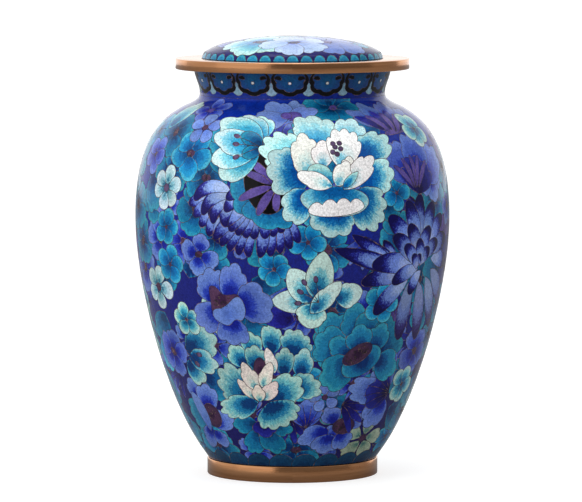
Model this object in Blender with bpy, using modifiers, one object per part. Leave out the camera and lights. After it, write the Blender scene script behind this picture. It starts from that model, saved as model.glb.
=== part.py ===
"""Cloisonne urn: an enamelled copper vessel on a copper foot ring, closed by a lift-off lid.

The lid is a copper rim with a turned-down band and a collar that fits the mouth, and an enamelled dome stands on it.
Metres, +Z up. The origin is the centre of the foot ring's underside.
"""

import math

import bpy

# Heights, stacked from the surface that the urn stands on
FOOT_HEIGHT = 0.0093
BELLY_HEIGHT = 0.1374
SHOULDER_HEIGHT = 0.0672
NECK_ROOT_HEIGHT = 0.0045
NECK_HEIGHT = 0.0173

# Outside radii and how far one stands out from the next
BELLY_RADIUS = 0.0900
FOOT_RADIUS = 0.0489
FOOT_LEDGE = 0.0006
NECK_RADIUS = 0.0530
NECK_ROOT_FLARE = 0.0030
LIP_FLARE = 0.0042

# Wall thicknesses
BODY_WALL = 0.0022
BODY_FLOOR = 0.0026
FOOT_WALL = 0.0030
DOME_WALL = 0.0020

# Lid
LID_OVERHANG = 0.0097
LID_PLATE = 0.0022
LID_BAND_DEPTH = 0.0060
LID_BAND_WALL = 0.0024
COLLAR_DEPTH = 0.0130
COLLAR_WALL = 0.0016
COLLAR_CLEARANCE = 0.0006
DOME_SETBACK = 0.0149
DOME_RISE = 0.0123

# Finish of edges and seats
EDGE_ROUND = 0.0005
SEAT_GAP = 0.0003

# Shape of the urn's outline: each pull is a share of the span that it bends
BELLY_FOOT_OUT = 0.573
BELLY_FOOT_UP = 0.219
BELLY_TOP_DOWN = 0.275
SHOULDER_FOOT_UP = 0.646
SHOULDER_TOP_OUT = 0.624
SHOULDER_TOP_DOWN = 0.135
NECK_ROOT_PULL = 0.67
NECK_ROOT_DOWN = 0.40
NECK_FOOT_UP = 0.333
NECK_TOP_IN = 0.535
NECK_TOP_DOWN = 0.737

# Fineness of the facets
ROUND_STEPS = 56
BELLY_STEPS = 10
SHOULDER_STEPS = 8
NECK_ROOT_STEPS = 3
NECK_STEPS = 4
DOME_STEPS = 7
EDGE_STEPS = 2
MERGE_DISTANCE = 0.00001

# Levels and radii that follow from them
BASE_Z = FOOT_HEIGHT + SEAT_GAP
WIDEST_Z = BASE_Z + BELLY_HEIGHT
NECK_ROOT_Z = WIDEST_Z + SHOULDER_HEIGHT
NECK_Z = NECK_ROOT_Z + NECK_ROOT_HEIGHT
LIP_Z = NECK_Z + NECK_HEIGHT
BASE_RADIUS = FOOT_RADIUS - FOOT_LEDGE
NECK_ROOT_RADIUS = NECK_RADIUS + NECK_ROOT_FLARE
LIP_RADIUS = NECK_RADIUS + LIP_FLARE
PLATE_UNDERSIDE_Z = LIP_Z + SEAT_GAP
LID_TOP_Z = PLATE_UNDERSIDE_Z + LID_PLATE
LID_RADIUS = LIP_RADIUS + LID_OVERHANG
COLLAR_RADIUS = NECK_RADIUS - BODY_WALL - COLLAR_CLEARANCE
DOME_RADIUS = LID_RADIUS - DOME_SETBACK
DOME_BASE_Z = LID_TOP_Z + SEAT_GAP


def clear_scene():
    for thing in list(bpy.data.objects):
        bpy.data.objects.remove(thing, do_unlink=True)


def make_material(name, colour, roughness, metallic):
    material = bpy.data.materials.new(name)
    material.use_nodes = True
    shader = material.node_tree.nodes["Principled BSDF"]
    shader.inputs["Base Color"].default_value = (*colour, 1.0)
    shader.inputs["Roughness"].default_value = roughness
    shader.inputs["Metallic"].default_value = metallic
    return material


def curve(start, start_pull, end_pull, end, steps):
    """Points (radius, height) of a cubic curve after its start, up to and with its end."""
    points = []
    for step in range(1, steps + 1):
        t = step / steps
        weights = ((1 - t) ** 3, 3 * (1 - t) ** 2 * t, 3 * (1 - t) * t**2, t**3)
        knots = (start, start_pull, end_pull, end)
        points.append(tuple(sum(w * knot[axis] for w, knot in zip(weights, knots)) for axis in (0, 1)))
    return points


def body_outline():
    """The vessel's outside from its base up to its lip."""
    base = (BASE_RADIUS, BASE_Z)
    widest = (BELLY_RADIUS, WIDEST_Z)
    root = (NECK_ROOT_RADIUS, NECK_ROOT_Z)
    waist = (NECK_RADIUS, NECK_Z)
    lip = (LIP_RADIUS, LIP_Z)

    belly_out = BELLY_RADIUS - BASE_RADIUS
    belly = curve(
        base,
        (BASE_RADIUS + BELLY_FOOT_OUT * belly_out, BASE_Z + BELLY_FOOT_UP * BELLY_HEIGHT),
        (BELLY_RADIUS, WIDEST_Z - BELLY_TOP_DOWN * BELLY_HEIGHT),
        widest,
        BELLY_STEPS,
    )

    root_out = SHOULDER_TOP_OUT * (BELLY_RADIUS - NECK_ROOT_RADIUS)
    root_down = SHOULDER_TOP_DOWN * SHOULDER_HEIGHT
    shoulder = curve(
        widest,
        (BELLY_RADIUS, WIDEST_Z + SHOULDER_FOOT_UP * SHOULDER_HEIGHT),
        (NECK_ROOT_RADIUS + root_out, NECK_ROOT_Z - root_down),
        root,
        SHOULDER_STEPS,
    )

    # The curve into the neck leaves along the line on which the shoulder arrives
    pull = NECK_ROOT_PULL * NECK_ROOT_FLARE
    neck_root = curve(
        root,
        (NECK_ROOT_RADIUS - pull, NECK_ROOT_Z + pull * root_down / root_out),
        (NECK_RADIUS, NECK_Z - NECK_ROOT_DOWN * NECK_ROOT_HEIGHT),
        waist,
        NECK_ROOT_STEPS,
    )
    neck = curve(
        waist,
        (NECK_RADIUS, NECK_Z + NECK_FOOT_UP * NECK_HEIGHT),
        (LIP_RADIUS - NECK_TOP_IN * LIP_FLARE, LIP_Z - NECK_TOP_DOWN * NECK_HEIGHT),
        lip,
        NECK_STEPS,
    )
    return [base, *belly, *shoulder, *neck_root, *neck]


def offset_inwards(outline, distance):
    """The outline moved to its left-hand side as it runs upwards, which is towards the axis."""
    moved = []
    for index, (radius, height) in enumerate(outline):
        before = outline[max(index - 1, 0)]
        after = outline[min(index + 1, len(outline) - 1)]
        run, rise = after[0] - before[0], after[1] - before[1]
        length = math.hypot(run, rise)
        moved.append((radius - distance * rise / length, height + distance * run / length))
    return moved


def radius_at(outline, height):
    """Where an outline that runs upwards passes a height."""
    for (low_radius, low), (high_radius, high) in zip(outline, outline[1:]):
        if high >= height:
            return low_radius + (high_radius - low_radius) * (height - low) / (high - low)
    return outline[-1][0]


def body_profile():
    """From the middle of the cavity's floor, up the inside, over the lip, down the outside and in underneath."""
    outside = body_outline()
    wall_inside = offset_inwards(outside, BODY_WALL)
    floor_z = BASE_Z + BODY_FLOOR
    floor_edge = (radius_at(wall_inside, floor_z), floor_z)
    inside = [point for point in wall_inside if floor_z + BODY_WALL < point[1] < LIP_Z - BODY_WALL]
    lip_inside = (LIP_RADIUS - BODY_WALL, LIP_Z)
    return [(0.0, floor_z), floor_edge, *inside, lip_inside, *reversed(outside), (0.0, BASE_Z)]


def rounded_edge(corner, towards_first, towards_last):
    """Points that round a square corner, from the side where the outline arrives to where it leaves."""
    centre = [c + (a + b) * EDGE_ROUND for c, a, b in zip(corner, towards_first, towards_last)]
    points = []
    for step in range(EDGE_STEPS + 1):
        angle = math.pi / 2 * step / EDGE_STEPS
        points.append(
            tuple(
                c - EDGE_ROUND * (a * math.sin(angle) + b * math.cos(angle))
                for c, a, b in zip(centre, towards_first, towards_last)
            )
        )
    return points


def foot_profile():
    inside = FOOT_RADIUS - FOOT_WALL
    return [
        *rounded_edge((FOOT_RADIUS, FOOT_HEIGHT), (-1, 0), (0, -1)),
        *rounded_edge((FOOT_RADIUS, 0.0), (0, 1), (-1, 0)),
        (inside, 0.0),
        (inside, FOOT_HEIGHT),
    ]


def lid_rim_profile():
    """The rim's section: band outside, plate across, collar down into the mouth."""
    band_bottom = LID_TOP_Z - LID_BAND_DEPTH
    band_inside = LID_RADIUS - LID_BAND_WALL
    collar_inside = COLLAR_RADIUS - COLLAR_WALL
    collar_bottom = PLATE_UNDERSIDE_Z - COLLAR_DEPTH
    return [
        *rounded_edge((LID_RADIUS, LID_TOP_Z), (-1, 0), (0, -1)),
        *rounded_edge((LID_RADIUS, band_bottom), (0, 1), (-1, 0)),
        (band_inside, band_bottom),
        (band_inside, PLATE_UNDERSIDE_Z),
        (COLLAR_RADIUS, PLATE_UNDERSIDE_Z),
        (COLLAR_RADIUS, collar_bottom),
        (collar_inside, collar_bottom),
        (collar_inside, LID_TOP_Z),
    ]


def dome_arc(radius, rise):
    """A quarter of an ellipse from the dome's top down to its base."""
    angles = [math.pi / 2 * step / DOME_STEPS for step in range(DOME_STEPS + 1)]
    return [(radius * math.sin(angle), DOME_BASE_Z + rise * math.cos(angle)) for angle in angles]


def dome_profile():
    outside = dome_arc(DOME_RADIUS, DOME_RISE)
    inside = dome_arc(DOME_RADIUS - DOME_WALL, DOME_RISE - DOME_WALL)
    return [*outside, *reversed(inside)]


def turn(name, profile, material, collection, is_ring):
    """A turned solid. A ring's profile is a closed loop; any other starts and ends on the axis."""
    joins = [(index, index + 1) for index in range(len(profile) - 1)]
    if is_ring:
        joins.append((len(profile) - 1, 0))
    mesh = bpy.data.meshes.new(name)
    mesh.from_pydata([(radius, 0.0, height) for radius, height in profile], joins, [])
    mesh.materials.append(material)
    piece = bpy.data.objects.new(name, mesh)
    collection.objects.link(piece)

    screw = piece.modifiers.new("turn", "SCREW")
    screw.axis = "Z"
    screw.angle = 2 * math.pi
    screw.steps = ROUND_STEPS
    screw.render_steps = ROUND_STEPS
    screw.use_merge_vertices = True
    screw.merge_threshold = MERGE_DISTANCE
    screw.use_smooth_shade = True
    return piece


def build_urn():
    clear_scene()
    collection = bpy.data.collections.new("cloisonne_urn")
    bpy.context.scene.collection.children.link(collection)

    enamel = make_material("cobalt_enamel", (0.030, 0.060, 0.400), roughness=0.15, metallic=0.0)
    copper = make_material("polished_copper", (0.720, 0.430, 0.260), roughness=0.30, metallic=1.0)

    turn("urn_body", body_profile(), enamel, collection, is_ring=False)
    turn("foot_ring", foot_profile(), copper, collection, is_ring=True)
    turn("lid_rim", lid_rim_profile(), copper, collection, is_ring=True)
    turn("lid_dome", dome_profile(), enamel, collection, is_ring=False)


build_urn()
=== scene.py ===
"""Looks of the cloisonne urn: enamelled flowers parted by fine copper wires, brushed copper, and a studio.

Each enamelled surface has a flat plan in millimetres. On the wall, x runs round the urn at its girth and
y up along the wall; on the dome both run out from the top. Every cell of enamel is an outline in the plan.
Where outlines overlap the later one is on top, and a wire lies along every line where one cell meets
another.
"""

import math

import bpy
import numpy as np
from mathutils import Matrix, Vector
from mathutils.geometry import delaunay_2d_cdt


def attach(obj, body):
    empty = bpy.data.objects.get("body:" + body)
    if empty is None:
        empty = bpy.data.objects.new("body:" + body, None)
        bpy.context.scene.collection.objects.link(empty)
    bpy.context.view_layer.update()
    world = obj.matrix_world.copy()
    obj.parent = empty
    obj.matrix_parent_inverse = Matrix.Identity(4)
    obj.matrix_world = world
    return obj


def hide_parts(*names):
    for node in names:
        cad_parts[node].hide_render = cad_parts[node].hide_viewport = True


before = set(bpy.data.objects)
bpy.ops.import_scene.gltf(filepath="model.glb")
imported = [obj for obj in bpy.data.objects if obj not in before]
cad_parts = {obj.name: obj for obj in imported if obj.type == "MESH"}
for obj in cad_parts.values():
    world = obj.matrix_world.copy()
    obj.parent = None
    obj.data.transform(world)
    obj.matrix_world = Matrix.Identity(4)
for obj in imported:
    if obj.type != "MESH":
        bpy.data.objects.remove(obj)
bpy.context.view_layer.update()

MM = 0.001

# Fineness of the enamel's cells and of the turned pieces, in mm
OUTLINE_STEP = 0.95
GRID_STEP = 3.2
CONTOUR_STEP = 2.6
PLAN_TOLERANCE = 0.0005
TURNED_STEPS = 240
SHARP_ANGLE = 50.0
ON_PLANE = 0.001
MERGE_DIGITS = 4

# Wires, in mm
WIRE_WIDTH = 0.44
WIRE_CROWN = 0.035
WIRE_SINK = 0.012
WIRE_LEAN = 0.8
SHORTEST_WIRE = 0.01
SHARPEST_MITRE = 0.7

# How far one cell's enamel differs from the next in shade and in each colour, and the lightest it may be
CELL_SHADES = (0.8, 1.08)
CELL_TINTS = (0.96, 1.04)
LIGHTEST = 0.98
GRAIN_SHIFT = 7.3

# The bands: how often each pattern repeats, and levels in mm above the surface that the urn stands on
FOOT_SCALLOPS = 24
FOOT_BAND_LEVEL = 9.7
NECK_HEADS = 16
NECK_GROUND_LEVEL = 217.6
PENDANT_LEVEL = 219.2
NECK_BAND_LEVEL = 226.4
HEAD_LEVEL = 227.6
BAND_REACH = 400
DOME_LAPPETS = 42


# Profiles read from the frame

def half_section(node):
    """A turned node's outline in the half plane at +X, as (radius, height) in mm.

    The solid is on the left of the outline's way. An open outline starts and ends on the axis.
    """
    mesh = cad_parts[node].data
    places = np.array([vertex.co for vertex in mesh.vertices]) / MM
    on_plane = (np.abs(places[:, 1]) < ON_PLANE) & (places[:, 0] > -ON_PLANE)
    spots = {
        index: (round(places[index, 0], 3), round(places[index, 2], 3))
        for index in np.flatnonzero(on_plane)
    }
    joined = {spot: set() for spot in spots.values()}
    for edge in mesh.edges:
        first, second = (spots.get(index) for index in edge.vertices)
        if first and second and first != second:
            joined[first].add(second)
            joined[second].add(first)
    ends = sorted((spot for spot in joined if len(joined[spot]) == 1), key=lambda spot: spot[1])
    walk = [ends[0] if ends else max(joined)]
    while True:
        ahead = [spot for spot in sorted(joined[walk[-1]]) if spot not in walk]
        if not ahead:
            break
        walk.append(ahead[0])
    if not ends and signed_area(np.array(walk)) < 0:
        walk.reverse()
    if ends and walk[0][0] > 0:
        walk.insert(0, (0.0, walk[0][1]))
    if ends and walk[-1][0] > 0:
        walk.append((0.0, walk[-1][1]))
    return walk


def signed_area(outline):
    """The area in a closed outline, below zero if it runs clockwise."""
    x, y = outline.T
    return (x * np.roll(y, -1) - np.roll(x, -1) * y).sum() / 2


def smooth(points, steps=24):
    """A smooth curve through points that lie closer together where the shape turns quickly."""
    points = np.array(points, float)
    at = np.concatenate([[0.0], np.cumsum(np.hypot(*np.diff(points, axis=0).T))])
    heading = np.gradient(points, at, axis=0)
    if points[0, 0] == 0:
        heading[0, 1] = 0.0
    curve = []
    for index in range(len(points) - 1):
        span = at[index + 1] - at[index]
        t = np.linspace(0.0, 1.0, steps, endpoint=False)[:, None]
        curve.append(
            (2 * t**3 - 3 * t**2 + 1) * points[index]
            + (t**3 - 2 * t**2 + t) * span * heading[index]
            + (3 * t**2 - 2 * t**3) * points[index + 1]
            + (t**3 - t**2) * span * heading[index + 1]
        )
    return np.vstack([*curve, points[-1:]])


class Surface:
    """An enamelled surface: a turned outline, and a flat plan of it."""

    def __init__(self, outline):
        fine = smooth(outline)
        self.along = np.concatenate([[0.0], np.cumsum(np.hypot(*np.diff(fine, axis=0).T))])
        self.radius, self.height = fine.T
        self.slope = np.gradient(fine, self.along, axis=0)
        self.top = self.along[-1]

    def at(self, along):
        """Radius, height and the outline's way at distances along it."""
        values = (self.radius, self.height, *self.slope.T)
        return (np.interp(along, self.along, value) for value in values)


class Wall(Surface):
    """The vessel's outside, unrolled at its girth."""

    def __init__(self, outline):
        super().__init__(outline)
        self.girth = self.radius.max()
        self.half = math.pi * self.girth
        self.laps = (0.0, -2 * self.half, 2 * self.half)

    def place(self, plan, lift=0.0):
        """Points of the plan on the vessel, and the directions straight out of it."""
        turn = plan[:, 0] / self.girth
        radius, height, run, rise = self.at(plan[:, 1])
        length = np.hypot(run, rise)
        outward = np.column_stack([rise * np.sin(turn), -rise * np.cos(turn), -run]) / length[:, None]
        points = np.column_stack([radius * np.sin(turn), -radius * np.cos(turn), height])
        return points + lift * outward, outward

    def origin(self, azimuth, level):
        """The plan's x and y for degrees round the urn and mm above its foot, and how far up leans there."""
        return math.radians(azimuth) * self.girth, float(np.interp(level, self.height, self.along)), 0.0

    def stretch(self, y):
        """How much wider the plan is than the vessel, by the height in the plan."""
        return self.girth / np.interp(y, self.along, self.radius)

    def rim(self):
        """The plan's own outline."""
        across = np.linspace(-self.half, self.half, TURNED_STEPS + 1)
        up = np.linspace(0.0, self.top, round(self.top / GRID_STEP) + 1)
        return np.array(
            [
                *((x, 0.0) for x in across),
                *((self.half, y) for y in up[1:-1]),
                *((x, self.top) for x in across[::-1]),
                *((-self.half, y) for y in up[-2:0:-1]),
            ]
        )

    def holds(self, points, margin=0.0):
        x, y = points.T
        return (np.abs(x) < self.half - margin) & (y > margin) & (y < self.top - margin)


class Dome(Surface):
    """The lid's dome, laid flat round its top."""

    laps = (0.0,)

    def place(self, plan, lift=0.0):
        away = np.hypot(*plan.T)
        side = plan / np.maximum(away, 1e-9)[:, None]
        radius, height, run, fall = self.at(away)
        length = np.hypot(run, fall)
        outward = np.column_stack([-fall * side[:, 0], -fall * side[:, 1], run]) / length[:, None]
        points = np.column_stack([radius * side[:, 0], radius * side[:, 1], height])
        return points + lift * outward, outward

    def origin(self, azimuth, level):
        """The plan's x and y for degrees round the lid and mm from its top, and how far up leans there."""
        turn = math.radians(azimuth)
        return level * math.sin(turn), -level * math.cos(turn), turn

    def stretch(self, y):
        return np.ones_like(y)

    @property
    def half(self):
        return self.top

    def rim(self):
        turns = np.linspace(0.0, 2 * math.pi, TURNED_STEPS, endpoint=False)
        return self.top * np.column_stack([np.cos(turns), np.sin(turns)])

    def holds(self, points, margin=0.0):
        return np.hypot(*points.T) < self.top - margin


class Spot:
    """Where a motif is set on a surface. A motif's own plan has its middle at zero and y towards the top."""

    def __init__(self, surface, azimuth, level, turn=0.0):
        self.surface = surface
        self.x, self.y, lean = surface.origin(azimuth, level)
        self.cos = math.cos(lean - math.radians(turn))
        self.sin = math.sin(lean - math.radians(turn))

    def to_plan(self, points):
        x, y = points.T
        up = self.y + x * self.sin + y * self.cos
        return np.column_stack([self.x + (x * self.cos - y * self.sin) * self.surface.stretch(up), up])

    def from_plan(self, plan):
        side = (plan[:, 0] - self.x) / self.surface.stretch(plan[:, 1])
        up = plan[:, 1] - self.y
        return np.column_stack([side * self.cos + up * self.sin, up * self.cos - side * self.sin])


# Enamels: colours from a cell's root to its edge, and how far from the root each gives way to the next

ENAMELS = {
    # The ground runs from its root colour low down to its edge colour high up: more purple below, and darker
    # below as painted shade
    "ground": ((38, 36, 106), (34, 42, 130), (26, 48, 150), (18, 54, 160), (0.3, 0.55, 0.8)),
    "snow": ((56, 156, 204), (140, 208, 226), (226, 240, 240), (250, 250, 248), (0.2, 0.38, 0.58)),
    "snow_lip": ((246, 242, 240), (246, 242, 240), (250, 246, 244), (252, 250, 248), (0.3, 0.5, 0.8)),
    "surf": ((0, 88, 166), (20, 126, 190), (112, 198, 222), (196, 234, 234), (0.5, 0.66, 0.78)),
    "bowl": ((0, 104, 172), (34, 144, 198), (122, 204, 224), (190, 232, 232), (0.4, 0.62, 0.8)),
    "foam": ((40, 140, 204), (88, 184, 222), (150, 218, 232), (200, 238, 240), (0.34, 0.56, 0.76)),
    "shell": ((20, 112, 160), (56, 172, 210), (134, 214, 230), (210, 240, 240), (0.36, 0.64, 0.82)),
    "aqua": ((16, 100, 150), (60, 164, 198), (134, 206, 214), (198, 230, 224), (0.4, 0.62, 0.8)),
    "lagoon": ((8, 58, 118), (18, 96, 152), (36, 136, 178), (62, 164, 190), (0.36, 0.56, 0.84)),
    "mist": ((8, 66, 124), (34, 130, 176), (118, 192, 202), (180, 218, 212), (0.46, 0.66, 0.82)),
    "blush": ((50, 140, 172), (160, 206, 206), (232, 228, 220), (240, 228, 222), (0.24, 0.4, 0.62)),
    "periwinkle": ((26, 36, 148), (46, 68, 184), (84, 110, 202), (112, 138, 214), (0.36, 0.54, 0.8)),
    "sky": ((24, 40, 156), (50, 76, 190), (104, 132, 210), (122, 150, 220), (0.42, 0.58, 0.8)),
    "pale_sky": ((96, 126, 208), (108, 138, 214), (120, 148, 218), (128, 156, 222), (0.26, 0.48, 0.76)),
    "frost": ((112, 142, 216), (150, 178, 232), (176, 200, 240), (190, 212, 242), (0.2, 0.4, 0.7)),
    "dusk": ((172, 192, 238), (144, 172, 234), (58, 62, 172), (26, 16, 104), (0.46, 0.66, 0.76)),
    "shade": ((156, 178, 232), (124, 152, 226), (50, 54, 162), (26, 18, 100), (0.56, 0.76, 0.85)),
    "night": ((168, 188, 238), (124, 152, 226), (40, 48, 156), (16, 10, 88), (0.44, 0.66, 0.77)),
    "gloom": ((150, 168, 216), (122, 144, 208), (70, 62, 140), (48, 30, 96), (0.5, 0.7, 0.84)),
    "indigo": ((26, 16, 84), (30, 28, 118), (40, 44, 150), (50, 60, 168), (0.3, 0.6, 0.85)),
    "plum_white": ((54, 122, 152), (130, 186, 198), (182, 214, 222), (206, 228, 232), (0.34, 0.54, 0.78)),
    "teal": ((8, 66, 112), (14, 96, 148), (26, 128, 172), (48, 156, 186), (0.34, 0.56, 0.84)),
    "floret": ((0, 90, 148), (8, 120, 180), (32, 152, 202), (84, 188, 214), (0.36, 0.58, 0.84)),
    "lily": ((24, 84, 140), (46, 142, 182), (134, 206, 218), (210, 236, 230), (0.32, 0.5, 0.66)),
    "violet": ((84, 70, 146), (100, 84, 162), (110, 94, 170), (96, 82, 158), (0.3, 0.5, 0.8)),
    "umber": ((64, 38, 72), (92, 62, 92), (88, 60, 90), (70, 50, 90), (0.3, 0.6, 0.8)),
    "anther": ((120, 98, 132), (120, 98, 132), (104, 84, 120), (96, 76, 112), (0.3, 0.6, 0.8)),
    "celadon": ((60, 104, 116), (110, 150, 140), (158, 180, 160), (182, 198, 176), (0.24, 0.4, 0.7)),
    "ink": ((8, 7, 12), (8, 7, 12), (10, 9, 16), (12, 10, 18), (0.3, 0.6, 0.8)),
    "cloud": ((22, 96, 142), (26, 92, 146), (34, 84, 144), (40, 80, 142), (0.3, 0.6, 0.85)),
    "pearl": ((150, 184, 200), (146, 180, 198), (138, 172, 194), (130, 166, 190), (0.3, 0.6, 0.85)),
    "deep_teal": ((16, 58, 98), (18, 62, 102), (24, 74, 112), (30, 84, 120), (0.3, 0.6, 0.85)),
}
STOPS = ("root", "inner", "outer", "edge")
DEPTH = 1.1


def linear(colour):
    """A colour of 0 to 255 as the light it stands for, a little deeper than it was picked."""
    share = np.array(colour, float) / 255
    return np.where(share <= 0.04045, share / 12.92, ((share + 0.055) / 1.055) ** 2.4) ** DEPTH


# Cells: an outline in the motif's own plan, and how far each point of it is from root to edge

class Cell:
    """An outline, its enamel, and functions for how far points are from its root and for its grain."""

    def __init__(self, outline, enamel, shade, grain, contours=()):
        self.outline = outline
        self.enamel = enamel
        self.shade = shade
        self.grain = grain
        self.contours = contours


def respaced(points, step, closed=True):
    """A line with its points a step apart."""
    if closed:
        points = np.vstack([points, points[:1]])
    at = np.concatenate([[0.0], np.cumsum(np.hypot(*np.diff(points, axis=0).T))])
    count = max(9 if closed else 3, round(at[-1] / step))
    wanted = np.linspace(0.0, at[-1], count, endpoint=not closed)
    return np.column_stack([np.interp(wanted, at, values) for values in points.T])


def turned(points, degrees):
    """Points turned clockwise."""
    cos, sin = math.cos(math.radians(degrees)), math.sin(math.radians(degrees))
    x, y = points.T
    return np.column_stack([x * cos + y * sin, y * cos - x * sin])


def towards(aim, distance):
    """A point at a distance in a direction, in degrees clockwise from up."""
    return distance * math.sin(math.radians(aim)), distance * math.cos(math.radians(aim))


def petal(
    length, width, enamel, at=(0.0, 0.0), aim=0.0,
    fan=70.0, square=2.6, swell=2.0, lobes=0, notch=0.13, point=0.0, bend=0.0, hug=0.75,
):
    """A petal that grows from its root at `at` and points to `aim`, in degrees clockwise from up.

    The outline is a reach in each direction from the root. A bend carries the petal round an arc.
    """
    half_fan = math.radians(fan)

    def reach(angle):
        share = np.clip(np.abs(angle) / half_fan, 0.0, 1.0)
        far = (1 - share**square) ** (1 / swell) * (1 - point * np.sin(share * math.pi / 2))
        if lobes:
            far = far * (1 - notch * (1 - np.abs(np.cos(math.pi / 2 * lobes * angle / half_fan)) ** 0.6))
            far = far * (1 + 0.05 * np.sin(4.4 * angle / half_fan + aim + length))
        return far

    sweep = half_fan * np.sin(np.linspace(-math.pi / 2, math.pi / 2, 121))
    unit = reach(sweep)[:, None] * np.column_stack([np.sin(sweep), np.cos(sweep)])
    tall = unit[:, 1].max()
    size = length / tall
    widen = width / (2 * np.abs(unit[:, 0]).max() * size)
    curl = math.radians(bend) / length
    at = np.array(at, float)

    def laid(flat):
        """From the straight petal to the motif."""
        side, far = flat[:, 0] * widen * size, flat[:, 1] * size
        if bend:
            away = 1 / curl - side
            side, far = 1 / curl - away * np.cos(curl * far), away * np.sin(curl * far)
        return turned(np.column_stack([side, far]), aim) + at

    def straight(points):
        """From the motif back to the straight petal."""
        side, far = turned(points - at, -aim).T
        if bend:
            way = 1.0 if curl > 0 else -1.0
            away = np.hypot(1 / curl - side, far)
            side, far = 1 / curl - way * away, np.arctan2(far * way, (1 / curl - side) * way) / curl
        return np.column_stack([side / (widen * size), far / size])

    def shade(points):
        side, far = straight(points).T
        round_root = np.hypot(side, far) / np.maximum(reach(np.arctan2(side, far)), 0.05)
        return hug * round_root + (1 - hug) * far / tall

    def grain(points):
        side, far = straight(points).T
        return np.column_stack([np.arctan2(side, far) * length, np.hypot(side, far) * length])

    contours = [respaced(laid(unit * share), CONTOUR_STEP) for share in (0.5, 0.8) if length > 6]
    return Cell(respaced(laid(unit), OUTLINE_STEP), enamel, shade, grain, contours)


def shape(outline, enamel, at=(0.0, 0.0), aim=0.0):
    """A cell of any outline, shaded from its middle out."""
    outline = turned(np.array(outline, float), aim) + np.array(at, float)
    middle = outline.mean(axis=0)
    size = np.hypot(*(outline - middle).T).max()

    def shade(points):
        return np.hypot(*(points - middle).T) / size

    def grain(points):
        return points - middle

    return Cell(respaced(outline, OUTLINE_STEP), enamel, shade, grain)


def rounded(corners):
    """An outline through the middles of the given corners' sides, with the corners worn off."""
    outline = np.array(corners, float)
    for _ in range(3):
        ahead = np.roll(outline, -1, axis=0)
        worn = [0.75 * outline + 0.25 * ahead, 0.25 * outline + 0.75 * ahead]
        outline = np.stack(worn, axis=1).reshape(-1, 2)
    return outline


def round_shape(radius, enamel, at=(0.0, 0.0), tall=1.0, aim=0.0):
    turns = np.linspace(0.0, 2 * math.pi, 40, endpoint=False)
    return shape(radius * np.column_stack([np.cos(turns), tall * np.sin(turns)]), enamel, at, aim)


class Motif:
    """Cells and loose wires that are set in the enamel together."""

    def __init__(self):
        self.cells = []
        self.wires = []

    def add(self, *cells):
        self.cells.extend(cells)
        return self

    def wire(self, points):
        """A loose wire, which stops where another motif covers it."""
        self.wires.append(respaced(np.array(points, float), OUTLINE_STEP, closed=False))
        return self

    def lay(self, enamel, *rows, notch=0.14, **form):
        """Petals in their rows' order, the later over the earlier."""
        for x, y, aim, length, width, lobes in rows:
            self.add(petal(length, width, enamel, at=(x, y), aim=aim, lobes=lobes, notch=notch, **form))
        return self

    def stamens(self, root, *tips):
        """Loose wires from a root to dark anthers."""
        for tip in tips:
            way = np.array(tip) - root
            self.wire([root, np.array(root) + way * 0.5 + (0.3, 0.3), np.array(root) + way * 0.9])
            aim = math.degrees(math.atan2(way[0], way[1]))
            self.add(round_shape(1.3, "anther", at=tip, tall=1.6, aim=aim))
        return self

    def speckle(self, rng, middle, radius, tall, count, aim):
        """Small coils of wire scattered over a heart."""
        for _ in range(count):
            away, turn = radius * math.sqrt(rng.uniform(0, 1)), rng.uniform(0, 2 * math.pi)
            spot = np.array([[away * math.cos(turn), tall * away * math.sin(turn)]])
            turns = np.linspace(0.0, 1.7 * math.pi, 7) + rng.uniform(0, 6)
            coil = 0.7 * np.column_stack([np.cos(turns), np.sin(turns)])
            self.wire(turned(spot, aim) + np.array(middle) + coil)
        return self

    def ring(self, rng, count, start, out, length, width, enamel, vary=0.08, **form):
        """Petals round the middle, none quite like its neighbour."""
        for index in range(count):
            aim = start + index * 360.0 / count + rng.uniform(-1, 1) * vary * 90
            long, wide = (size * (1 + rng.uniform(-vary, vary)) for size in (length, width))
            self.add(petal(long, wide, enamel, at=towards(aim, out), aim=aim, **form))
        return self


# Flowers: a petal's row holds its root's x and y, where it points, its length, its width and its scallops

def great_peony():
    """The largest flower: deep blue outer petals with pale edges, round a bowl of white ones."""
    flower = Motif()
    flower.lay("foam", (-6, 8, 3, 26, 26, 5), (9, 6, 22, 26, 20, 4), (-13, -2, -50, 29, 26, 6))
    flower.lay(
        "surf",
        (13, 0, 57, 31, 22, 5),
        (14, -9, 84, 27, 20, 4),
        (-10, -4, -90, 26, 29, 5),
        (11, -17, 124, 26, 26, 6),
        (-11, -15, -132, 22, 19, 4),
        (2, -22, -168, 19, 27, 5),
    )
    flower.lay("snow", (-13, -8, -2, 28, 16, 4), (-4, -2, 2, 17, 13, 3), (7, -3, 10, 26, 21, 6))
    flower.lay("bowl", (-5, -15, -6, 16, 17, 2), hug=0.4)
    for x, y in ((2.4, 7.5), (4.8, 6.2), (4.0, 10.5), (6.8, 12.8), (3.0, 12.6), (7.2, 9.4)):
        flower.add(round_shape(1.5, "anther", at=(x, y)))
    flower.lay("snow", (10, -10, 8, 15, 10, 3))
    flower.lay("bowl", (3, -12, 184, 17, 40, 0), fan=84, square=3.6)
    flower.add(white_lip(33, 9.5, 4, (3.1, -24.6), -4))
    flower.lay("snow", (7, -14, 47, 27, 13, 3), (3, -12, 30, 16, 11, 3), (1, -12, -72, 21, 10, 2))
    return flower.lay("bowl", (7, -13, 47, 13, 5, 0), point=0.3)


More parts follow.
